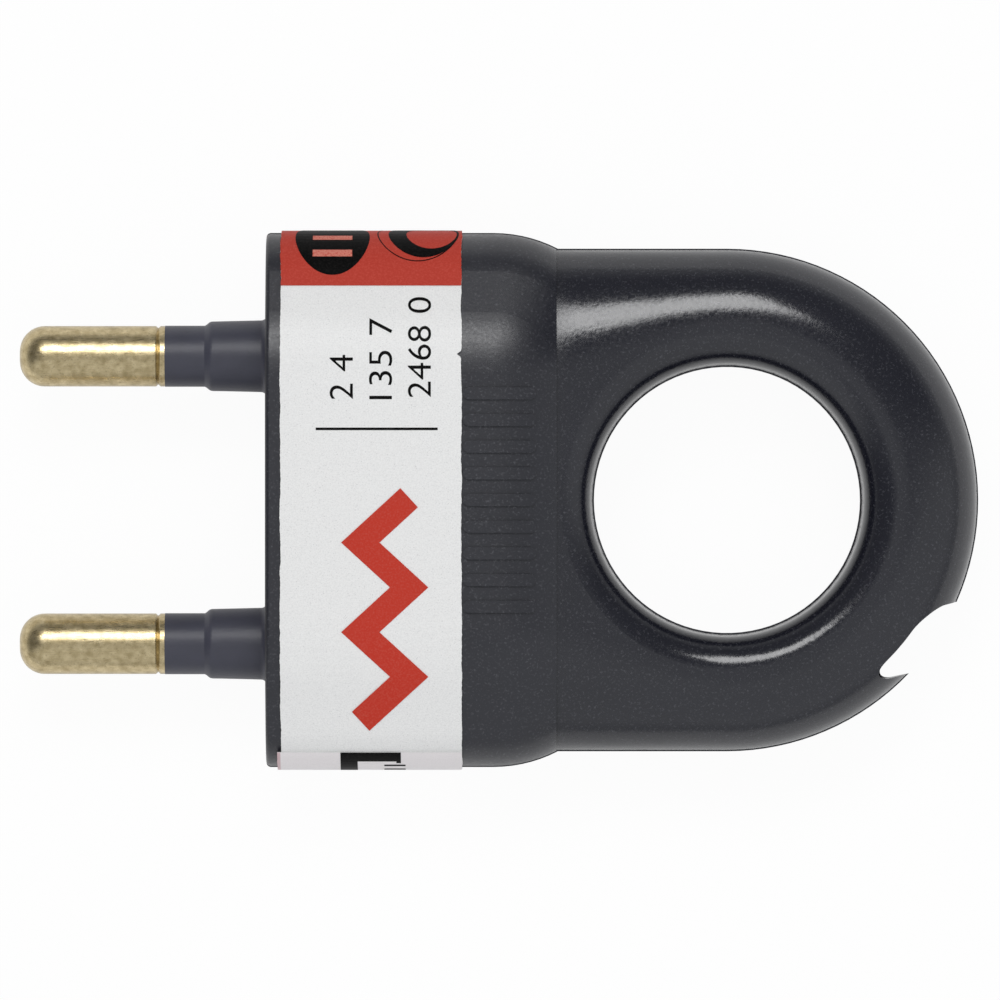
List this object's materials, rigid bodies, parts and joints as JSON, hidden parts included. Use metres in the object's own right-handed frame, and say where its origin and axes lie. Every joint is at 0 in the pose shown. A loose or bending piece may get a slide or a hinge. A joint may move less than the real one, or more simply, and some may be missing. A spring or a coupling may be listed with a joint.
{
  "type": "two-pin plug with pull ring",
  "caption": "Flat two-pin mains plug in two screwed half shells, with sleeved round pins, a printed paper band and a pull ring whose lower arm takes the cord.",
  "frame": {"origin": "middle of the engagement face, midway between the two pins, on the seam between the half shells", "axes": "+X from the engagement face towards the pull ring, the pins point along -X; +Y towards the upper pin; +Z out of the front shell"},
  "size_m": [0.0633, 0.0357, 0.0134],
  "materials": {
    "housing": "satin moulded, slate black",
    "sleeve": "satin moulded, slate black",
    "pin": "turned",
    "screw": "zinc plated",
    "band": "coated paper",
    "field": "printed red",
    "black_print": "printed black"
  },
  "bodies": {
    "root": {"front_shell": "housing", "back_shell": "housing", "pin_sleeve_upper": "sleeve", "pin_sleeve_lower": "sleeve", "contact_pin_upper": "pin", "contact_pin_lower": "pin", "terminal_screw_upper": "screw", "terminal_screw_lower": "screw", "housing_screw": "screw", "housing_nut": "screw", "label_band": "band", "label_red_field": "field", "label_red_zigzag": "field", "label_black_disc": "black_print"}
  },
  "joints": []
}
